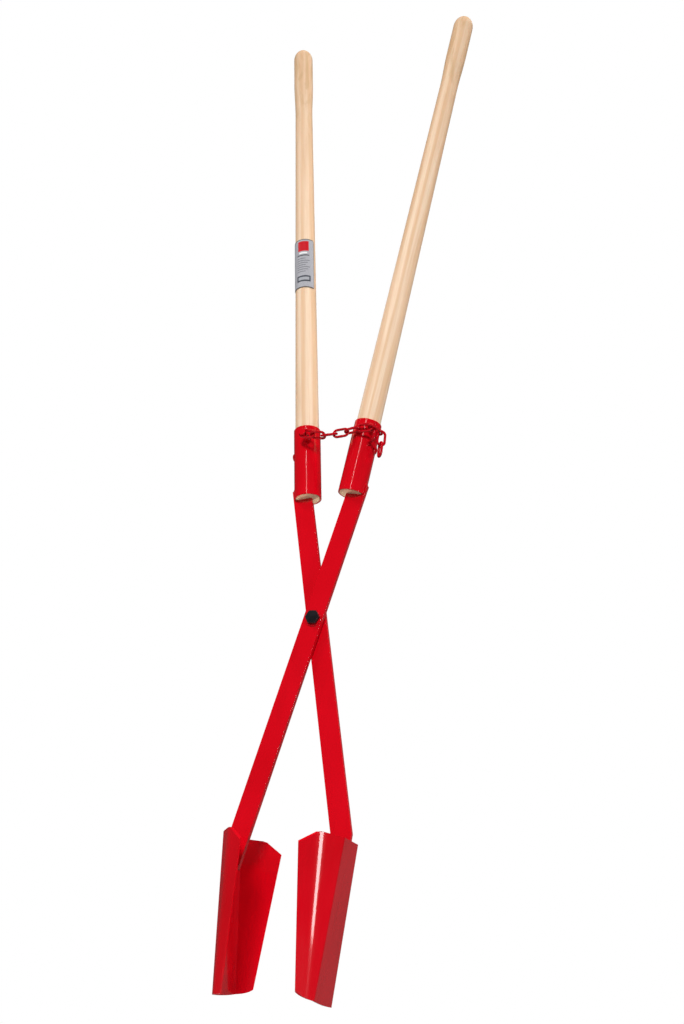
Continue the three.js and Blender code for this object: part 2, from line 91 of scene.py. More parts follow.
class Graph:
    """A small wrapper that builds one material's nodes."""

    def __init__(self, name):
        self.material = bpy.data.materials.new(name)
        self.material.use_nodes = True
        self.nodes = self.material.node_tree.nodes
        self.links = self.material.node_tree.links
        self.shader = self.nodes["Principled BSDF"]

    def add(self, kind, **values):
        """A new node, with each value put in its setting or its input of that name."""
        node = self.nodes.new("ShaderNode" + kind)
        for key, value in values.items():
            if hasattr(node, key) and key not in node.inputs:
                setattr(node, key, value)
            else:
                node.inputs[key].default_value = value
        return node

    def join(self, source, target):
        self.links.new(source, target)

    def coordinates(self, scale=(1, 1, 1)):
        """The object's own coordinates, scaled."""
        place = self.add("TexCoord")
        mapping = self.add("Mapping")
        mapping.inputs["Scale"].default_value = scale
        self.join(place.outputs["Object"], mapping.inputs["Vector"])
        return mapping.outputs["Vector"]

    def noise(self, vector, scale, detail=3.0, roughness=0.5, distortion=0.0):
        node = self.add("TexNoise", Scale=scale, Detail=detail, Roughness=roughness, Distortion=distortion)
        self.join(vector, node.inputs["Vector"])
        return node.outputs["Fac"]

    def ramp(self, value, stops):
        node = self.add("ValToRGB")
        elements = node.color_ramp.elements
        while len(elements) < len(stops):
            elements.new(0.5)
        for element, (position, colour) in zip(elements, stops):
            element.position = position
            element.color = (*colour, 1)
        self.join(value, node.inputs["Fac"])
        return node.outputs["Color"]

    def mix(self, amount, first, second):
        """First where the amount is 0 and second where it is 1; each may be an output or a constant."""
        node = self.add("Mix", data_type="RGBA")
        # The node holds sockets for every data type; these four are the colours' own.
        factor, a, b, result = node.inputs[0], node.inputs[6], node.inputs[7], node.outputs[2]
        for value, socket in ((amount, factor), (first, a), (second, b)):
            if isinstance(value, bpy.types.NodeSocket):
                self.join(value, socket)
            elif isinstance(value, tuple):
                socket.default_value = (*value, 1)
            else:
                socket.default_value = value
        return result

    def scaled(self, value, low, high, from_low=0.0, from_high=1.0):
        """The value's stretch from_low to from_high, spread over low to high and held at both ends."""
        node = self.add("MapRange")
        node.inputs["From Min"].default_value = from_low
        node.inputs["From Max"].default_value = from_high
        node.inputs["To Min"].default_value = low
        node.inputs["To Max"].default_value = high
        self.join(value, node.inputs["Value"])
        return node.outputs["Result"]

    def product(self, first, second):
        node = self.add("Math", operation="MULTIPLY")
        self.join(first, node.inputs[0])
        self.join(second, node.inputs[1])
        return node.outputs[0]

    def bump(self, height, strength, distance, below=None):
        node = self.add("Bump", Strength=strength, Distance=distance)
        self.join(height, node.inputs["Height"])
        if below is not None:
            self.join(below, node.inputs["Normal"])
        return node.outputs["Normal"]

    def edges(self, radius):
        """How far the rounded normal turns from the true one: near 1 only along sharp edges."""
        bevel = self.add("Bevel", samples=4, Radius=radius)
        plain = self.add("NewGeometry")
        dot = self.add("VectorMath", operation="DOT_PRODUCT")
        self.join(bevel.outputs["Normal"], dot.inputs[0])
        self.join(plain.outputs["Normal"], dot.inputs[1])
        return self.scaled(dot.outputs["Value"], 1.0, 0.0, 0.75, 0.98)

    def set_constants(self, **values):
        """Constants of the shader's own sockets, with _ for each space in a socket's name."""
        for key, value in values.items():
            self.shader.inputs[key.replace("_", " ")].default_value = value

    def finish(self, colour, roughness, normal):
        """The finished material, with these outputs or constants on its shader."""
        for value, name in ((colour, "Base Color"), (roughness, "Roughness"), (normal, "Normal")):
            if isinstance(value, bpy.types.NodeSocket):
                self.join(value, self.shader.inputs[name])
            else:
                self.shader.inputs[name].default_value = value
        return self.material


def paint_material(name, depth=1.0, gloss=0.85):
    """Gloss red enamel: slight orange peel, faint runs, and darker rubbed spots along edges.

    A depth under 1 darkens the red all over as painted shade, which the chain's paint uses for its shaded
    links."""
    g = Graph(name)
    at = g.coordinates()
    broad = g.noise(at, 9.0, 2.0)
    peel = g.noise(at, 420.0, 2.0, 0.45)
    runs = g.noise(g.coordinates(scale=(1, 1, 0.22)), 60.0, 3.0)
    specks = g.noise(at, 900.0, 1.0)
    spots = g.noise(at, 170.0, 4.0, 0.65)
    base = g.ramp(broad, [(0.3, (0.54 * depth, 0.0010, 0.006)), (0.7, (0.62 * depth, 0.0016, 0.009))])
    base = g.mix(g.scaled(runs, 0.0, 0.35, 0.55, 0.8), base, (0.41 * depth, 0.0010, 0.005))
    rubbed = g.product(g.edges(0.0011), g.scaled(spots, 0.0, 1.0, 0.56, 0.68))
    base = g.mix(rubbed, base, (0.16, 0.012, 0.012))
    g.set_constants(Coat_Weight=gloss, Coat_Roughness=0.07, Specular_IOR_Level=0.1)
    normal = g.bump(peel, 0.10, 0.0004)
    normal = g.bump(specks, 0.04, 0.0002, normal)
    return g.finish(base, g.scaled(runs, 0.16, 0.30, 0.3, 0.75), normal)


def wood_material(name, seed):
    """Pale lacquered ash, its grain along the handle's own Z.

    The seed moves the whole pattern, so that no two handles are alike."""
    g = Graph(name)
    own_place = g.coordinates()
    offset = g.add("VectorMath", operation="ADD")
    g.join(own_place, offset.inputs[0])
    offset.inputs[1].default_value = (seed, seed * 0.7, seed * 1.3)

    def grain(stretch, *pattern):
        """Noise drawn out along the handle: the smaller the stretch, the longer its streaks."""
        return g.noise(drawn_out(stretch), *pattern)

    def drawn_out(stretch):
        mapping = g.add("Mapping")
        mapping.inputs["Scale"].default_value = (1, 1, stretch)
        g.join(offset.outputs["Vector"], mapping.inputs["Vector"])
        return mapping.outputs["Vector"]

    rings = g.add("TexWave", wave_type="RINGS", rings_direction="Y", Scale=26.0, Distortion=5.0, Detail=2.5)
    rings.inputs["Detail Scale"].default_value = 0.9
    g.join(drawn_out(0.028), rings.inputs["Vector"])
    fibre = grain(0.012, 900.0, 5.0, 0.6)
    streak = grain(0.05, 75.0, 3.0, 0.55, 0.6)
    patch = grain(0.16, 16.0, 3.0, 0.55, 0.4)
    pores = grain(0.02, 1900.0, 2.0, 0.5)
    mottle = grain(0.22, 60.0, 4.0, 0.6, 1.2)
    split = g.add("SeparateXYZ")
    g.join(own_place, split.inputs["Vector"])
    height = split.outputs["Z"]
    base = g.ramp(rings.outputs["Fac"], [(0.1, (0.72, 0.49, 0.315)), (0.75, (0.83, 0.645, 0.48))])
    base = g.mix(g.scaled(streak, 0.0, 0.75, 0.46, 0.70), base, (0.66, 0.42, 0.255))
    base = g.mix(g.scaled(patch, 0.0, 0.5, 0.48, 0.72), base, (0.82, 0.60, 0.43))
    base = g.mix(g.scaled(fibre, 0.0, 0.45, 0.42, 0.75), base, (0.62, 0.39, 0.22))
    # Painted shade darkens the wood towards the tip, and its figure shows most there.
    base = g.mix(g.scaled(height, 0.0, 0.55, 0.45, 0.95), base, (0.58, 0.38, 0.23))
    figure = g.product(g.scaled(mottle, 0.0, 1.0, 0.47, 0.62), g.scaled(height, 0.0, 0.60, 0.66, 0.90))
    base = g.mix(figure, base, (0.50, 0.32, 0.165))
    base = g.mix(g.scaled(pores, 0.0, 0.35, 0.66, 0.8), base, (0.42, 0.24, 0.12))
    g.set_constants(Coat_Weight=0.12, Coat_Roughness=0.35, Specular_IOR_Level=0.25, Subsurface_Weight=0.04)
    normal = g.bump(fibre, 0.18, 0.0004)
    normal = g.bump(rings.outputs["Fac"], 0.05, 0.0005, normal)
    return g.finish(base, g.scaled(fibre, 0.34, 0.52, 0.3, 0.8), normal)


def endgrain_material():
    """The sawn foot of a handle: rough, with ring marks."""
    g = Graph("wood_end_grain")
    at = g.coordinates()
    rings = g.add("TexWave", wave_type="RINGS", rings_direction="Z", Scale=140.0, Distortion=3.0, Detail=3.0)
    g.join(at, rings.inputs["Vector"])
    fleck = g.noise(at, 800.0, 3.0, 0.6)
    base = g.ramp(rings.outputs["Fac"], [(0.1, (0.74, 0.50, 0.29)), (0.9, (0.90, 0.68, 0.45))])
    base = g.mix(g.scaled(fleck, 0.0, 0.5, 0.5, 0.8), base, (0.52, 0.32, 0.16))
    return g.finish(base, 0.75, g.bump(fleck, 0.4, 0.0004))


def metal_material(name, dark, light, smoothest, roughest, metallic):
    """Mottled plated or blackened steel, with a painted highlight that lightens its sharp edges."""
    g = Graph(name)
    at = g.coordinates()
    grain = g.noise(at, 300.0, 4.0, 0.6)
    mottle = g.noise(at, 60.0, 3.0, 0.55)
    base = g.ramp(mottle, [(0.3, dark), (0.75, light)])
    # Painted highlight: the sharp edges are mixed towards white, as glints on the steel.
    edge_glint = tuple(min(1.0, 2.5 * channel + 0.05) for channel in light)
    base = g.mix(g.scaled(g.edges(0.0007), 0.0, 0.55), base, edge_glint)
    g.set_constants(Metallic=metallic)
    return g.finish(base, g.scaled(grain, smoothest, roughest, 0.3, 0.75), g.bump(grain, 0.15, 0.0003))


def label_material():
    """A generic grey sticker: a red block, a white bar, thin rules, a framed panel and a painted shadow
    round its edge, over its own UVs.
    """
    g = Graph("sticker")
    uv = g.add("UVMap", uv_map="sticker")
    split = g.add("SeparateXYZ")
    g.join(uv.outputs["UV"], split.inputs["Vector"])
    soft = 0.004

    def band(axis, low, high):
        """1 between low and high on that axis, with soft edges."""
        rise = g.scaled(split.outputs[axis], 0.0, 1.0, low - soft, low + soft)
        fall = g.scaled(split.outputs[axis], 1.0, 0.0, high - soft, high + soft)
        return g.product(rise, fall)

    def block(u0, u1, v0, v1):
        return g.product(band("X", u0, u1), band("Y", v0, v1))

    film = g.noise(g.coordinates(), 700.0, 2.0)
    base = g.ramp(film, [(0.3, (0.33, 0.33, 0.36)), (0.7, (0.42, 0.42, 0.45))])
    shapes = [
        (block(0.37, 0.78, 0.75, 0.955), (0.52, 0.012, 0.02)),
        (block(0.42, 0.72, 0.695, 0.725), (0.78, 0.78, 0.78)),
        (block(0.33, 0.80, 0.65, 0.67), (0.05, 0.05, 0.055)),
    ]
    for row in range(7):
        low = 0.32 + row * 0.045
        end = 0.66 + 0.08 * ((row * 7) % 3)
        shapes.append((block(0.33, end, low, low + 0.012), (0.13, 0.13, 0.14)))
    shapes.append((block(0.32, 0.84, 0.12, 0.24), (0.06, 0.065, 0.08)))
    shapes.append((block(0.37, 0.79, 0.15, 0.21), (0.36, 0.37, 0.40)))
    # Painted shadow: a dark band all round the sticker's edge.
    edge_shadow = g.scaled(block(0.018, 0.982, 0.014, 0.986), 1.0, 0.0)
    shapes.append((edge_shadow, (0.10, 0.085, 0.075)))
    for where, colour in shapes:
        base = g.mix(where, base, colour)
    return g.finish(base, g.scaled(film, 0.30, 0.42), g.bump(film, 0.08, 0.0002))


RED = paint_material("red_paint")
# The chain's paint is a darker copy of the red: painted shade for the chain's links.
SHADED_CHAIN_RED = paint_material("chain_paint_shaded", depth=0.78, gloss=0.45)
BLACK = metal_material("black_oxide", (0.012, 0.012, 0.014), (0.035, 0.036, 0.04), 0.28, 0.5, 0.6)
ZINC = metal_material("zinc_plate", (0.30, 0.31, 0.32), (0.46, 0.47, 0.49), 0.25, 0.5, 1.0)
END_GRAIN = endgrain_material()
STICKER = label_material()
MATERIAL_OF = {"paint": RED, "bolt": BLACK, "zinc": ZINC, "label": STICKER}
SLOT_OF = {part["node"]: part["material_slot"] for part in frame["record"]["subparts"]}


# ---- frames read back from the CAD ----

def points_of(node):
    """The CAD node's vertices, one row of x, y and z in metres for each."""
    mesh = NODES[node].data
    points = np.zeros(len(mesh.vertices) * 3)
    mesh.vertices.foreach_get("co", points)
    return points.reshape(-1, 3)


def depth_of(node):
    """How far the CAD node reaches from front to back, in millimetres."""
    low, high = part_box(node)
    return (high.y - low.y) / MM


def basis(x, y, z, origin):
    """The matrix that has these axes and this origin."""
    turn = Matrix((Vector(x), Vector(y), Vector(z))).transposed().to_4x4()
    return Matrix.Translation(Vector(origin)) @ turn


def principal_frame(node):
    """Axes of a CAD node, its longest first, and its centre."""
    points = points_of(node)
    vectors = np.linalg.eigh(np.cov((points - points.mean(0)).T))[1]
    axes = [Vector(vectors[:, i]).normalized() for i in (2, 1, 0)]
    along = np.array([list(axis) for axis in axes])
    local = points @ along.T
    middle = (local.min(0) + local.max(0)) / 2
    return axes, Vector(middle @ along)


def upright_frame(node, lean):
    """Frame of a node that leans by that many degrees: Z along it, and the origin at its lower end."""
    points = points_of(node)
    towards = math.copysign(1, points[points[:, 2].argmax(), 0])
    angle = math.radians(lean) * towards
    z = Vector((math.sin(angle), 0, math.cos(angle)))
    x = Vector((z.z, 0, -z.x))
    y = z.cross(x)
    across = points @ np.array(x)
    origin = x * ((across.min() + across.max()) / 2) + z * (points @ np.array(z)).min()
    origin.y = (points[:, 1].min() + points[:, 1].max()) / 2
    return basis(x, y, z, origin)


def along_y(node):
    """A frame on the node's axis, with its origin at the node's front and its Z along +Y."""
    low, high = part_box(node)
    x, z = (low.x + high.x) / 2, (low.z + high.z) / 2
    return basis((1, 0, 0), (0, 0, -1), (0, 1, 0), (x, low.y, z))


# ---- mesh helpers ----

def new_object(name, mesh, materials):
    obj = bpy.data.objects.new(name, mesh)
    bpy.context.scene.collection.objects.link(obj)
    for material in materials:
        mesh.materials.append(material)
    return obj


def smooth(mesh, degrees):
    """Smooth shading, with the edges that turn by more than that many degrees kept sharp."""
    for polygon in mesh.polygons:
        polygon.use_smooth = True
    mesh.set_sharp_from_angle(angle=math.radians(degrees))


def mesh_of(bm, name):
    mesh = bpy.data.meshes.new(name)
    bm.to_mesh(mesh)
    bm.free()
    return mesh


def closed_mesh(bm, name):
    """The finished mesh, with its faces pointing out."""
    bmesh.ops.recalc_face_normals(bm, faces=bm.faces)
    return mesh_of(bm, name)


def add_bevel(obj, width, segments, degrees):
    bevel = obj.modifiers.new("round", "BEVEL")
    bevel.width = width * MM
    bevel.segments = segments
    bevel.limit_method = "ANGLE"
    bevel.angle_limit = math.radians(degrees)


def add_boolean(obj, operation, cutter):
    cut = obj.modifiers.new("cut", "BOOLEAN")
    cut.operation = operation
    cut.solver = "EXACT"
    cut.object = cutter


def apply_modifiers(obj):
    """Swap the object's mesh for the one that its modifiers make."""
    bpy.context.view_layer.update()
    evaluated = obj.evaluated_get(bpy.context.evaluated_depsgraph_get())
    mesh = bpy.data.meshes.new_from_object(evaluated)
    obj.modifiers.clear()
    obj.data = mesh


def weigh_normals(obj):
    """Large faces keep their own shading, and the small bevel faces turn between them."""
    weighted = obj.modifiers.new("flat_faces", "WEIGHTED_NORMAL")
    weighted.keep_sharp = True
    apply_modifiers(obj)


def place(obj, node):
    """The piece moves with the node's body and stands for the node."""
    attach(obj, BODY_OF[node])
    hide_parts(node)


def polar(radius, angle, z):
    """A point in metres, from millimetres out from Z and up it."""
    return (radius * MM * math.cos(angle), radius * MM * math.sin(angle), z * MM)


def bridge(bm, low, high):
    """Faces all round between two rings of vertices."""
    count = len(low)
    for k in range(count):
        j = (k + 1) % count
        bm.faces.new((low[k], low[j], high[j], high[k]))


def lathe(profile, sides):
    """A closed mesh of (radius, z) pairs in millimetres turned about Z.

    The profile starts and ends on the axis, or closes on itself."""
    bm = bmesh.new()
    rings = []
    for radius, z in profile:
        if radius < 1e-6:
            rings.append([bm.verts.new((0, 0, z * MM))])
        else:
            rings.append([bm.verts.new(polar(radius, 2 * math.pi * i / sides, z)) for i in range(sides)])
    for low, high in zip(rings, rings[1:]):
        for i in range(sides):
            j = (i + 1) % sides
            corners = [low[i % len(low)], low[j % len(low)], high[j % len(high)], high[i % len(high)]]
            # On the axis two corners are one vertex, and the face is a triangle.
            bm.faces.new(list(dict.fromkeys(corners)))
    if profile[0] == profile[-1]:
        bmesh.ops.remove_doubles(bm, verts=bm.verts, dist=1e-7)
    return closed_mesh(bm, "turned")


def tube_along(points, radius, sides, closed=False):
    """A round rod through the points, in metres, with flat ends when it is open."""
    bm = bmesh.new()
    points = [Vector(p) for p in points]
    count = len(points)
    side = None
    rings = []
    for i, point in enumerate(points):
        before = points[(i - 1) % count] if closed or i else point
        after = points[(i + 1) % count] if closed or i < count - 1 else point
        tangent = (after - before).normalized()
        if side is None:
            side = tangent.orthogonal().normalized()
        side = (side - tangent * side.dot(tangent)).normalized()
        other = tangent.cross(side)
        ring = []
        for k in range(sides):
            angle = 2 * math.pi * k / sides
            ring.append(bm.verts.new(point + (side * math.cos(angle) + other * math.sin(angle)) * radius))
        rings.append(ring)
    for low, high in zip(rings, rings[1:]):
        bridge(bm, low, high)
    if closed:
        # The last ring may be turned against the first, so the nearest corner is found.
        first = min(range(sides), key=lambda k: (rings[0][k].co - rings[-1][0].co).length)
        bridge(bm, rings[-1], rings[0][first:] + rings[0][:first])
    else:
        bm.faces.new(rings[0])
        bm.faces.new(rings[-1])
    return closed_mesh(bm, "rod")


# ---- bars and handles ----

def add_bar(end):
    """The CAD bar's own shape with its edges rounded."""
    node = f"{end}_arm_bar"
    name = f"{end}_flat_bar"
    bm = bmesh.new()
    bm.from_mesh(NODES[node].data)
    bmesh.ops.remove_doubles(bm, verts=bm.verts, dist=2e-6)
    bmesh.ops.dissolve_limit(bm, angle_limit=math.radians(1.0), verts=bm.verts, edges=bm.edges)
    obj = new_object(name, mesh_of(bm, name), [RED])
    add_bevel(obj, BAR["rounding"], 3, 40)
    apply_modifiers(obj)
    smooth(obj.data, 40)
    weigh_normals(obj)
    place(obj, node)


def handle_profile():
    """(radius, height) pairs: straight in the socket, tapering above it, swelling to the grip, domed."""
    foot, neck, grip = HANDLE["foot"], HANDLE["neck"], HANDLE["grip"]
    edge, dome, length = HANDLE["foot_edge"], HANDLE["dome"], HANDLE["length"]
    socket_top = SOCKET["length"]
    neck_height = length - HANDLE["neck_below_tip"]
    grip_height = length - HANDLE["grip_below_tip"]
    taper_steps, swell_steps, dome_steps = 40, 24, 16
    profile = [(0, 0), (foot - edge, 0), (foot, edge), (foot, socket_top)]
    for i in range(1, taper_steps + 1):
        t = i / taper_steps
        profile.append((foot + (neck - foot) * t, socket_top + (neck_height - socket_top) * t))
    for i in range(1, swell_steps + 1):
        t = i / swell_steps
        swell = math.sin(math.pi / 2 * t) ** 2
        profile.append((neck + (grip - neck) * swell, neck_height + (grip_height - neck_height) * t))
    for i in range(dome_steps):
        angle = math.pi / 2 * i / dome_steps
        profile.append((grip * math.cos(angle), length - dome + dome * math.sin(angle)))
    return profile + [(0, length)]


def add_handle(side, seed):
    """The wooden handle with its sawn foot, which the socket's mouth shows."""
    mesh = lathe(handle_profile(), 72)
    obj = new_object(f"{side}_wooden_handle", mesh, [wood_material(f"ash_{side}", seed), END_GRAIN])
    for polygon in mesh.polygons:
        if abs(polygon.center.z) < 0.5 * MM and polygon.normal.z < -0.5:
            polygon.material_index = 1
    smooth(mesh, 40)
    obj.matrix_world = upright_frame(f"{side}_socket", LEAN["handle"])
    place(obj, f"{side}_handle")


# ---- sockets, each slotted for its arm's bar, and their welds ----

def bar_clearance(side):
    """A box a gap wider, thicker and higher than the arm's bar, for cutting the socket's slot."""
    bar = "front_arm_bar" if side == "right" else "rear_arm_bar"
    frame_of_bar = upright_frame(bar, LEAN["bar"])
    inverse = frame_of_bar.inverted()
    height = max((inverse @ Vector(p)).z for p in points_of(bar)) + GAP * MM
    width = 2 * (BAR["half_width"] + GAP) * MM
    thickness = 2 * (BAR["half_thickness"] + GAP) * MM
    bm = bmesh.new()
    bmesh.ops.create_cube(bm, size=1.0)
    for vert in bm.verts:
        x, y, z = vert.co
        vert.co = (x * width, y * thickness, (z + 0.5) * height)
    box = new_object("slot_cutter", mesh_of(bm, "slot"), [])
    box.matrix_world = frame_of_bar
    return box


def add_socket(side):
    """A tube with rounded rims, slotted where the bar goes in."""
    node = f"{side}_socket"
    outer, length, rim = SOCKET["radius"], SOCKET["length"], SOCKET["rim"]
    inner = outer - SOCKET["wall"]
    # The rim's outer corner is rounded in two steps, and a ring just past it keeps the wall's shading even.
    step, past = 0.15, 0.4
    profile = [
        (inner, rim), (inner + rim, 0), (outer - rim, 0), (outer - step, step), (outer, rim),
        (outer, rim + past), (outer, length * 0.33), (outer, length * 0.66), (outer, length - rim - past),
        (outer, length - rim), (outer - step, length - step), (outer - rim, length), (inner + rim, length),
        (inner, length - rim), (inner, length / 2), (inner, rim),
    ]
    obj = new_object(f"{side}_tube_socket", lathe(profile, 96), [RED])
    obj.matrix_world = upright_frame(node, LEAN["handle"])
    cutter = bar_clearance(side)
    add_boolean(obj, "DIFFERENCE", cutter)
    apply_modifiers(obj)
    bpy.data.objects.remove(cutter)
    smooth(obj.data, 35)
    weigh_normals(obj)
    place(obj, node)


def add_weld(side):
    """A rippled bead on the socket's outer wall, round the slot that the bar comes out of."""
    sign = 1 if side == "right" else -1
    bead, sink = 1.5, 0.6
    foot, top = 1.2, 19.0
    wall = SOCKET["radius"] - sink
    half = BAR["half_thickness"] + 1.0
    arch = top - half
    run_steps, arch_steps = 14, 10
    rise = (arch - foot) / run_steps
    route = [(-half, foot + rise * i) for i in range(run_steps)]
    for i in range(arch_steps + 1):
        angle = math.pi * i / arch_steps
        route.append((-half * math.cos(angle), arch + half * math.sin(angle)))
    route += [(half, arch - rise * i) for i in range(1, run_steps + 1)]
    path = [(sign * math.sqrt(wall ** 2 - y ** 2) * MM, y * MM, z * MM) for y, z in route]
    mesh = tube_along(path, bead * MM, 12)
    ripple, ripples_per_mm = 0.012, 4.2
    for vert in mesh.vertices:
        vert.co.x *= 1 + ripple * math.sin(vert.co.z / MM * ripples_per_mm)
    weld = new_object(f"{side}_socket_weld", mesh, [RED])
    weld.matrix_world = upright_frame(f"{side}_socket", LEAN["handle"])
    smooth(mesh, 60)
    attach(weld, BODY_OF[f"{side}_socket"])


# ---- chain ----

def link_loop():
    """Points round a straight-sided link lying in local XY, its length along X."""
    rings = 56
    bend, straight = LINK["bend"], LINK["apex"] - LINK["bend"]
    half_turn = math.pi * bend
    whole = 2 * half_turn + 4 * straight
    points = []
    for i in range(rings):
        s = whole * i / rings
        if s < half_turn:
            a = s / bend - math.pi / 2
            points.append((straight + bend * math.cos(a), bend * math.sin(a)))
        elif s < half_turn + 2 * straight:
            points.append((straight - (s - half_turn), bend))
        elif s < 2 * half_turn + 2 * straight:
            a = (s - half_turn - 2 * straight) / bend + math.pi / 2
            points.append((-straight + bend * math.cos(a), bend * math.sin(a)))
        else:
            points.append((-straight + (s - 2 * half_turn - 2 * straight), -bend))
    return [Vector((x * MM, y * MM, 0)) for x, y in points]


def add_link(number):
    """One chain link, with a low weld bump in the middle of one straight side."""
    node = f"chain_link_{number}"
    (x, y, _), centre = principal_frame(node)
    mesh = tube_along(link_loop(), LINK["wire"] / 2 * MM, 14, closed=True)
    half_bump, swell = 2.2, 0.10
    for vert in mesh.vertices:
        along = abs(vert.co.x) / MM
        if vert.co.y < 0 and along < half_bump:
            middle = Vector((vert.co.x, -LINK["bend"] * MM, 0))
            share = math.cos(math.pi / 2 * along / half_bump)
            vert.co = middle + (vert.co - middle) * (1 + swell * share)
    obj = new_object(f"link_{number}", mesh, [SHADED_CHAIN_RED])
    obj.matrix_world = basis(x, y, x.cross(y), centre)
    smooth(mesh, 60)
    place(obj, node)


def add_hook():
    """A bent rod out of the right socket and up through link 7, and the weld round its foot."""
    low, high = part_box("chain_hook")
    radius, bend = HOOK["wire"] / 2 * MM, HOOK["bend"] * MM
    up = Vector((0, 0, 1))
    points = points_of("chain_hook")
    top = points[points[:, 2] > high.z - 1.0 * MM].mean(0)
    # The foot is the end of the lying part that is nearest the socket's middle line.
    lying = points[points[:, 2] < low.z + 2 * radius + 0.1 * MM]
    to_socket = upright_frame("right_socket", LEAN["handle"]).inverted()
    distance = np.array([(to_socket @ Vector(p)).to_2d().length for p in lying])
    foot = Vector(lying[distance < distance.min() + 1.2 * MM].mean(0))
    foot.z = low.z + radius
    corner = Vector((top[0], top[1], foot.z))
    out = (corner - foot).normalized()
    before, after = corner - out * bend, corner + up * bend
    path = [foot - out * 0.6 * MM, foot + out * 2.0 * MM]
    path += [foot.lerp(before, share) for share in (0.35, 0.7)]
    for i in range(13):
        t = i / 12
        path.append(before * (1 - t) ** 2 + corner * 2 * t * (1 - t) + after * t * t)
    path += [after + up * (high.z - after.z) * share for share in (0.25, 0.5, 0.75, 0.96)]
    rod = new_object("hook_rod", tube_along(path, radius, 18), [SHADED_CHAIN_RED])
    smooth(rod.data, 50)
    place(rod, "chain_hook")
    sideways = out.cross(up).normalized()
    steps, ring_radius, bead, ripples = 28, 3.1, 1.1, 9
    ring = []
    for i in range(steps):
        angle = 2 * math.pi * i / steps
        spoke = sideways * math.cos(angle) + up * math.sin(angle)
        swell = 1 + 0.08 * math.sin(angle * ripples)
        ring.append(foot + out * 0.3 * MM + spoke * ring_radius * MM * swell)
    weld = new_object("hook_weld", tube_along(ring, bead * MM, 10, closed=True), [RED])
    smooth(weld.data, 60)
    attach(weld, "front_arm")


# ---- blades ----

def blade_section(t):
    """The outer face's corners at share t of the way down, as (half width, depth) in mm."""
    def between(at_top, at_foot):
        return tuple(a + (b - a) * t for a, b in zip(at_top, at_foot))
    return [(0.0, 0.0)] + [between(*BLADE[corner]) for corner in ("shoulder", "wing", "edge")]


def rounded_half(t, inner):
    """The half section with its two bends rounded, moved in by the sheet's thickness when inner."""
    corners = [Vector(p) for p in blade_section(t)]
    normals = []
    for a, b in zip(corners, corners[1:]):
        along = (b - a).normalized()
        normals.append(Vector((-along.y, along.x)))
    centre_steps, bend_steps = 4, 6
    points = []
    for i in range(centre_steps):
        points.append((corners[0].lerp(corners[1], 0.85 * i / centre_steps), normals[0]))
    for k in (1, 2):
        before = (corners[k] - corners[k - 1]).normalized()
        after = (corners[k + 1] - corners[k]).normalized()
        turn = before.angle(after)
        top_radius, foot_radius = BLADE["bend_radius"][k - 1]
        radius = top_radius + (foot_radius - top_radius) * t
        n0, n1 = normals[k - 1], normals[k]
        centre = corners[k] - before * radius * math.tan(turn / 2) + n0 * radius
        for i in range(bend_steps + 1):
            share = i / bend_steps
            n = (n0 * math.sin((1 - share) * turn) + n1 * math.sin(share * turn)) / math.sin(turn)
            points.append((centre - n * radius, n))
        # Rows between the bends, and out to the edge, keep the flats' shading even.
        between = (0.3, 0.5) if k == 1 else (0.4, 0.75, 1.0)
        points += [(corners[k].lerp(corners[k + 1], share), n1) for share in between]
    thickness = BLADE["sheet"] if inner else 0.0
    return [p + n * thickness for p, n in points]


def blade_frame(side):
    """Frame of a blade: X into its hollow, Y across it, Z up it, and the origin at its top's outer face."""
    mount = MOUNTS[f"{side}_blade_face"]
    x = -Vector(mount["axis"]).normalized()
    y = Vector((0, 1, 0))
    if x.cross(y).z < 0:
        y = -y
    z = x.cross(y)
    return basis(x, y, z, Vector(mount["pos_m"]) + z * BLADE["mount_below_top"] * MM)


def blade_sheet():
    """The folded sheet as a closed solid, longer than the blade at both ends."""
    bm = bmesh.new()
    rows = []
    steps, above, below = 24, 0.03, 1.08
    for i in range(steps + 1):
        t = -above + (above + below) * i / steps
        outer, inner = rounded_half(t, False), rounded_half(t, True)
        whole_outer = [Vector((-p.x, p.y)) for p in reversed(outer[1:])] + outer
        whole_inner = [Vector((-p.x, p.y)) for p in reversed(inner[1:])] + inner
        loop = whole_outer + list(reversed(whole_inner))
        rows.append([bm.verts.new((p.y * MM, p.x * MM, -t * BLADE["length"] * MM)) for p in loop])
    for a, b in zip(rows, rows[1:]):
        bridge(bm, a, b)
    # Each end is a strip of faces between the outer and the inner outline.
    count = len(rows[0])
    for row in (rows[0], rows[-1]):
        for k in range(count // 2 - 1):
            bm.faces.new((row[k], row[k + 1], row[count - 2 - k], row[count - 1 - k]))
    return closed_mesh(bm, "sheet")


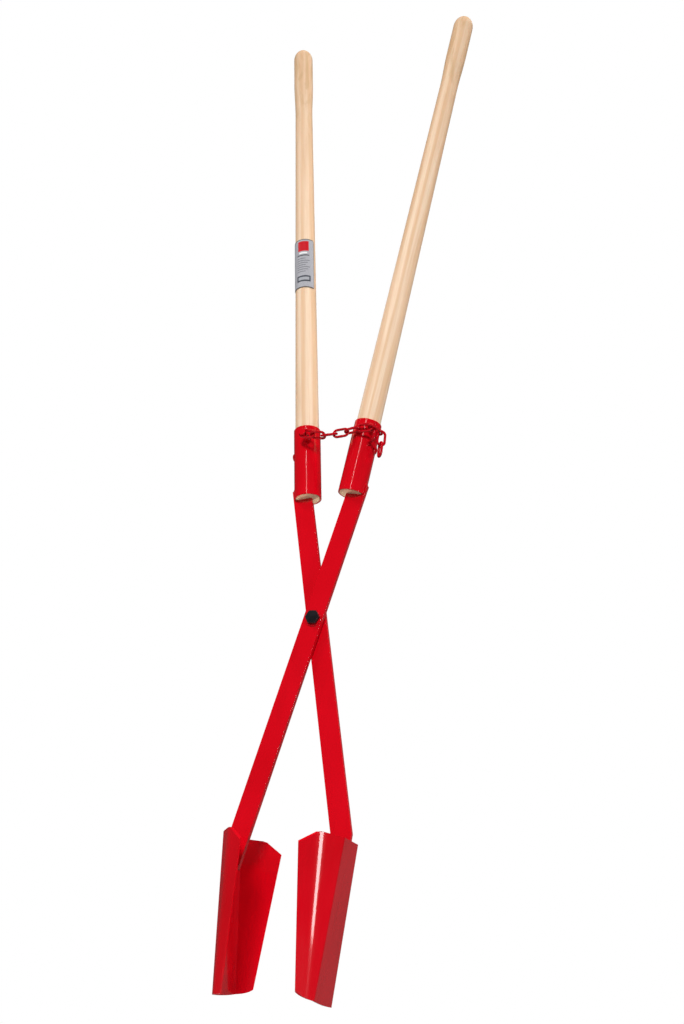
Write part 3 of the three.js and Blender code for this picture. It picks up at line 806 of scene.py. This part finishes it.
def blade_outline():
    """The blade's outline seen from the front, as a prism along local X that reaches past the sheet."""
    length, drop, rise = BLADE["length"], BLADE["corner_drop"], BLADE["foot_rise"]
    top_half, edge_half = BLADE["wing"][0][0], BLADE["edge"][0][0]
    half_foot = BLADE["edge"][1][0] + 2
    arc_radius = (half_foot ** 2 + rise ** 2) / (2 * rise)
    near_depth, far_depth = -15, 70
    corner_steps, foot_steps = 8, 16

    def half(corner):
        """Points down one side, round the foot's corner and along the bowed foot to the middle."""
        sweep = math.asin((half_foot - corner) / arc_radius)
        arc_end = -length + arc_radius * (1 - math.cos(sweep))
        points = [
            # The cut corner at the top, then a side that lies outside the sheet.
            (top_half - 3, 0), (top_half + 1.5, -1.6), (edge_half - 2, -drop + 1.5),
            (edge_half + 1, -drop - 2), (edge_half + 10, -drop - 20),
            (half_foot + 1, -length + rise + corner),
        ]
        start = Vector(points[-1])
        middle = Vector((half_foot, arc_end))
        end = Vector((half_foot - corner, arc_end))
        for i in range(1, corner_steps + 1):
            t = i / corner_steps
            points.append(tuple((1 - t) ** 2 * start + 2 * t * (1 - t) * middle + t * t * end))
        for i in range(1, foot_steps + 1):
            angle = sweep * (1 - i / foot_steps)
            points.append((arc_radius * math.sin(angle), -length + arc_radius * (1 - math.cos(angle))))
        return points

    minus, plus = (half(corner) for corner in BLADE["foot_corners"])
    outline = plus + [(-y, z) for y, z in reversed(minus[:-1])]
    slope = math.tan(math.radians(BLADE["foot_slant"]))
    # Only the lower half is slanted, so the cut corners at the top stay level.
    outline = [(y, z + slope * y if z < -length / 2 else z) for y, z in outline]
    bm = bmesh.new()
    near, far = (
        [bm.verts.new((x * MM, y * MM, z * MM)) for y, z in outline] for x in (near_depth, far_depth)
    )
    bm.faces.new(near)
    bm.faces.new(list(reversed(far)))
    bridge(bm, near, far)
    return closed_mesh(bm, "outline")


def add_blade(side):
    """The folded sheet, trimmed to the blade's outline, with its cut edges rounded."""
    obj = new_object(f"{side}_folded_blade", blade_sheet(), [RED])
    cutter = new_object("outline_cutter", blade_outline(), [])
    add_boolean(obj, "INTERSECT", cutter)
    add_bevel(obj, 0.5, 2, 50)
    apply_modifiers(obj)
    bpy.data.objects.remove(cutter)
    smooth(obj.data, 35)
    weigh_normals(obj)
    obj.matrix_world = blade_frame(side)
    place(obj, f"{side}_blade")


# ---- pivot, chain anchor and screws ----

def hex_prism(across, low, high, chamfer):
    """A hexagon along Z whose ends are chamfered round, as on a bolt head."""
    bm = bmesh.new()
    steps = 48
    angles = [2 * math.pi * i / steps for i in range(steps)]
    flat, corner = across / 2, across / math.sqrt(3)
    face = 0.985 * flat

    def face_ring(end):
        return [bm.verts.new(polar(face, angle, end)) for angle in angles]

    def wall_ring(end, inwards):
        """Where the walls meet the chamfer: least of it in the middle of a flat, all of it at a corner."""
        ring = []
        for angle in angles:
            radius = flat / math.cos(angle % (math.pi / 3) - math.pi / 6)
            share = (radius - flat) / (corner - flat)
            ring.append(bm.verts.new(polar(radius, angle, end + inwards * chamfer * (0.15 + 0.85 * share))))
        return ring

    rings = [face_ring(low), wall_ring(low, 1), wall_ring(high, -1), face_ring(high)]
    for a, b in zip(rings, rings[1:]):
        bridge(bm, a, b)
    bm.faces.new(rings[0])
    bm.faces.new(rings[-1])
    return closed_mesh(bm, "hexagon")


def add_turned(name, meshes, material, node):
    """One piece from meshes made along Z, set on the CAD node's own axis from front to back."""
    bm = bmesh.new()
    for mesh in meshes:
        bm.from_mesh(mesh)
    obj = new_object(name, mesh_of(bm, name), [material])
    obj.matrix_world = along_y(node)
    smooth(obj.data, 30)
    place(obj, node)


def threaded(radius, start, end):
    """A rod profile with shallow thread grooves from start to end."""
    pitch, groove, lead = 1.75, 0.75, 0.6
    profile = [(0, start), (radius - lead, start), (radius, start + lead)]
    z = start + lead
    while z < end - pitch - lead:
        profile += [(radius - groove, z + pitch / 2), (radius, z + pitch)]
        z += pitch
    return profile + [(radius, end - 0.8), (radius - 0.9, end), (0, end)]


def add_pivot():
    """The pivot bolt, its nut and its three washers."""
    across, head, chamfer = PIVOT["across"], PIVOT["head"], PIVOT["chamfer"]
    # A round face, a hair proud of the hexagon's own.
    crown = lathe([(0, -0.02), (across * 0.40, -0.02), (across * 0.41, 0.3), (0, 0.3)], 48)
    shank = lathe(threaded(PIVOT["bolt"], head - 0.5, depth_of("pivot_bolt")), 32)
    add_turned("pivot_hex_bolt", [hex_prism(across, 0, head, chamfer), crown, shank], BLACK, "pivot_bolt")
    add_turned("pivot_hex_nut", [hex_prism(across, 0, PIVOT["nut"], chamfer)], BLACK, "pivot_nut")
    bore, bore_edge, edge = 6.3, 0.2, 0.35
    for node in ("pivot_front_washer", "pivot_middle_washer", "pivot_rear_washer"):
        low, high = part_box(node)
        outer, thick = (high.x - low.x) / 2 / MM, depth_of(node)
        profile = [
            (bore, bore_edge), (bore + bore_edge, 0), (outer - edge, 0), (outer, edge),
            (outer, thick - edge), (outer - edge, thick), (bore + bore_edge, thick),
            (bore, thick - bore_edge), (bore, bore_edge),
        ]
        add_turned(f"{node}_ring", [lathe(profile, 64)], MATERIAL_OF[SLOT_OF[node]], node)


def add_anchor():
    """The bolt that holds the chain's first link to the left socket, and the sleeve behind it."""
    radius, head = ANCHOR["bolt"], ANCHOR["head"]
    start, end, tip = head - 0.5, depth_of("chain_anchor_bolt"), 0.6
    shank = lathe([(0, start), (radius, start), (radius, end - tip), (radius - tip, end), (0, end)], 28)
    head_mesh = hex_prism(ANCHOR["across"], 0, head, ANCHOR["chamfer"])
    add_turned("anchor_hex_bolt", [head_mesh, shank], RED, "chain_anchor_bolt")
    thick, bore, outer = depth_of("chain_anchor_sleeve"), 3.3, 5.5
    profile = [
        (bore, 0.2), (bore + 0.2, 0), (outer - 0.5, 0), (outer, 0.5), (outer, thick - 0.3),
        (outer - 0.3, thick), (bore + 0.2, thick), (bore, 0.2),
    ]
    add_turned("anchor_spacer", [lathe(profile, 40)], RED, "chain_anchor_sleeve")


def add_screw(side):
    """A domed screw head with a cross recess, on the socket's outer side."""
    node = f"{side}_handle_screw"
    sign = 1 if side == "right" else -1
    socket = upright_frame(f"{side}_socket", LEAN["handle"])
    out = Vector(socket.col[0][:3]) * sign
    centre = Vector(socket.col[3][:3]) + Vector(socket.col[2][:3]) * SCREW["height"] * MM
    reach = float((points_of(node) @ np.array(out)).max())
    top = centre + out * (reach - centre.dot(out))
    head, radius, shank = SCREW["head_height"], SCREW["head_radius"], SCREW["shank_radius"]
    dome_steps, rim, point = 8, 0.25, 5
    profile = [(0, 0.0)]
    for i in range(1, dome_steps + 1):
        angle = math.pi / 2 * i / dome_steps
        profile.append((radius * math.sin(angle), head * (1 - math.cos(angle))))
    end = head + SCREW["length"]
    profile += [(radius, head + rim), (shank, head + rim), (shank, end - point), (0, end)]
    mesh = lathe(profile, 48)
    slot_half_width, slot_reach, slot_depth = 0.7, 3.4, 0.8
    for vert in mesh.vertices:
        x, y, z = (c / MM for c in vert.co)
        in_cross = abs(x) < slot_half_width or abs(y) < slot_half_width
        if in_cross and z < head / 2 and math.hypot(x, y) < slot_reach:
            vert.co.z += slot_depth * MM
    obj = new_object(f"{side}_dome_screw", mesh, [RED])
    y = Vector((0, 1, 0))
    obj.matrix_world = basis(y.cross(-out), y, -out, top)
    smooth(mesh, 40)
    place(obj, node)


# ---- sticker ----

def add_sticker():
    """The label's patch, rebuilt fine with its own UVs: U round the handle, V up it."""
    at_socket = upright_frame("left_socket", LEAN["handle"])
    inverse = at_socket.inverted()
    local = np.array([inverse @ Vector(p) for p in points_of("handle_label")])
    angles = np.arctan2(local[:, 1], local[:, 0])
    middle = math.atan2(np.sin(angles).mean(), np.cos(angles).mean())
    spread = (angles - middle + math.pi) % (2 * math.pi) - math.pi
    start, sweep = middle + spread.min(), spread.max() - spread.min()
    bottom, height = local[:, 2].min(), local[:, 2].max() - local[:, 2].min()
    outer = np.hypot(local[:, 0], local[:, 1]).max()
    thickness, corner = 0.4 * MM, 2.2 * MM
    columns, rows = 30, 24

    def point(u, v, radius):
        """The patch's point at that share round and up it, pulled in where a corner is rounded."""
        angle = start + sweep * u
        z = bottom + height * v
        from_side = min(u, 1 - u) * sweep * outer
        from_end = min(v, 1 - v) * height
        if from_side < corner and from_end < corner:
            shift = corner - math.sqrt(corner ** 2 - (corner - from_side) ** 2)
            z += max(0.0, shift - from_end) * (1 if v < 0.5 else -1)
        return (radius * math.cos(angle), radius * math.sin(angle), z)

    bm = bmesh.new()
    uv_layer = bm.loops.layers.uv.new("sticker")
    front, back = (
        [[bm.verts.new(point(i / columns, j / rows, radius)) for i in range(columns + 1)]
         for j in range(rows + 1)]
        for radius in (outer, outer - thickness)
    )
    for j in range(rows):
        for i in range(columns):
            around = ((i, j), (i + 1, j), (i + 1, j + 1), (i, j + 1))
            for grid in (front, back):
                face = bm.faces.new([grid[v][u] for u, v in around])
                for loop, (u, v) in zip(face.loops, around):
                    loop[uv_layer].uv = (u / columns, v / rows)
    rim = [(0, i) for i in range(columns)] + [(j, columns) for j in range(rows)]
    rim += [(rows, i) for i in range(columns, 0, -1)] + [(j, 0) for j in range(rows, 0, -1)]
    bridge(bm, [front[j][i] for j, i in rim], [back[j][i] for j, i in rim])
    obj = new_object("plain_sticker", closed_mesh(bm, "sticker"), [STICKER])
    smooth(obj.data, 40)
    obj.matrix_world = at_socket
    place(obj, "handle_label")


# ---- build the pieces ----

for end in ("front", "rear"):
    add_bar(end)
add_handle("right", 3.1)
add_handle("left", 7.7)
for side in ("right", "left"):
    add_socket(side)
    add_weld(side)
    add_blade(side)
    add_screw(side)
add_pivot()
add_anchor()
add_hook()
for number in range(1, 10):
    add_link(number)
add_sticker()


# ---- floor, light and camera ----

FLOOR_HEIGHT = -0.75


def camera_ray(nodes):
    """1 for what the camera sees directly and 0 for what lights the tool or shows in its gloss."""
    return nodes.new("ShaderNodeLightPath").outputs["Is Camera Ray"]


def add_stage():
    """A pale floor under the hanging tool."""
    bm = bmesh.new()
    bmesh.ops.create_grid(bm, x_segments=2, y_segments=2, size=15)
    g = Graph("pale_floor")
    speck = g.noise(g.coordinates(), 3.0, 2.0)
    tone = g.ramp(speck, [(0.3, (0.21, 0.21, 0.21)), (0.7, (0.24, 0.24, 0.24))])
    g.join(tone, g.shader.inputs["Base Color"])
    g.set_constants(Roughness=0.9, Emission_Color=(1, 1, 1, 1))
    g.join(g.scaled(camera_ray(g.nodes), 0.0, 0.85), g.shader.inputs["Emission Strength"])
    floor = new_object("floor", mesh_of(bm, "floor"), [g.material])
    floor.location.z = FLOOR_HEIGHT


def add_light(name, azimuth, elevation, distance, height, size, power, mirrored=True, seen=True):
    """An area light, in metres and watts, that faces the tool's middle line at that height.

    Azimuth is in degrees round from the front towards +X, elevation in degrees up.
    A light that isn't mirrored makes no reflection, and one that isn't seen is hidden from the camera."""
    round_angle, up_angle = math.radians(azimuth), math.radians(elevation)
    level = math.cos(up_angle)
    offset = Vector((math.sin(round_angle) * level, -math.cos(round_angle) * level, math.sin(up_angle)))
    data = bpy.data.lights.new(name, "AREA")
    data.shape = "RECTANGLE"
    data.size, data.size_y = size
    data.energy = power
    obj = bpy.data.objects.new(name, data)
    bpy.context.scene.collection.objects.link(obj)
    obj.location = Vector((0, 0, height)) + offset * distance
    obj.rotation_euler = (-offset).to_track_quat("-Z", "Y").to_euler()
    obj.visible_glossy = mirrored
    obj.visible_camera = seen


def add_world():
    """White behind the tool, and only a faint glow as light on it."""
    world = bpy.data.worlds.new("studio")
    bpy.context.scene.world = world
    world.use_nodes = True
    nodes, links = world.node_tree.nodes, world.node_tree.links
    background = nodes["Background"]
    background.inputs["Color"].default_value = (1, 1, 1, 1)
    strength = nodes.new("ShaderNodeMapRange")
    strength.inputs["To Min"].default_value = 0.04
    strength.inputs["To Max"].default_value = 1.0
    links.new(camera_ray(nodes), strength.inputs["Value"])
    links.new(strength.outputs["Result"], background.inputs["Strength"])
    bpy.context.scene.view_settings.view_transform = "Standard"


def add_camera():
    """The camera, turned by its yaw and height angle and then rolled about its own line of sight."""
    yaw, below, roll = (math.radians(CAMERA[k]) for k in ("yaw", "below", "roll"))
    back = Vector((math.sin(yaw) * math.cos(below), -math.cos(yaw) * math.cos(below), -math.sin(below)))
    right = Vector((math.cos(yaw), math.sin(yaw), 0))
    up = back.cross(right)
    x = right * math.cos(roll) + up * math.sin(roll)
    y = -right * math.sin(roll) + up * math.cos(roll)
    low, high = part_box("pivot_bolt")
    crossing = Vector((0, 0, (low.z + high.z) / 2 + CAMERA["crossing_above_bolt"] * MM))
    aside_x, aside_y = CAMERA["aside"]
    place_of_camera = crossing + (back * CAMERA["distance"] + x * aside_x + y * aside_y) * MM
    data = bpy.data.cameras.new("camera")
    data.sensor_fit = "VERTICAL"
    data.sensor_height = CAMERA["sensor"]
    data.lens = CAMERA["lens"]
    data.clip_end = 100
    obj = bpy.data.objects.new("camera", data)
    bpy.context.scene.collection.objects.link(obj)
    obj.matrix_world = basis(x, y, back, place_of_camera)
    bpy.context.scene.camera = obj


add_stage()
add_world()
# Broad lights that shade the tool without showing in its gloss.
add_light("front_key", azimuth=8, elevation=21, distance=12, height=0.5, size=(2.4, 2.4), power=1080,
          mirrored=False)
add_light("left_key", azimuth=-50, elevation=42, distance=12, height=0.4, size=(4.0, 4.0), power=610,
          mirrored=False)
add_light("top_fill", azimuth=112, elevation=58, distance=7.0, height=0.3, size=(2.4, 2.4), power=450,
          mirrored=False)
add_light("back_fill", azimuth=195, elevation=35, distance=9.0, height=0.5, size=(3.0, 3.0), power=330,
          mirrored=False, seen=False)
add_light("under_fill", azimuth=-120, elevation=-50, distance=1.8, height=0.7, size=(0.6, 0.6), power=26,
          mirrored=False)
# Weak lights that the gloss mirrors: on the right blade, down the sockets, and as haze on the right blade.
add_light("right_softbox", azimuth=68, elevation=3.6, distance=2.5, height=0.12, size=(0.45, 0.62), power=14)
add_light("front_strip", azimuth=4, elevation=26, distance=2.5, height=0.78, size=(0.13, 1.0), power=4.2)
add_light("rear_haze", azimuth=165, elevation=9, distance=3.5, height=0.12, size=(2.4, 3.0), power=2.0,
          seen=False)
add_camera()
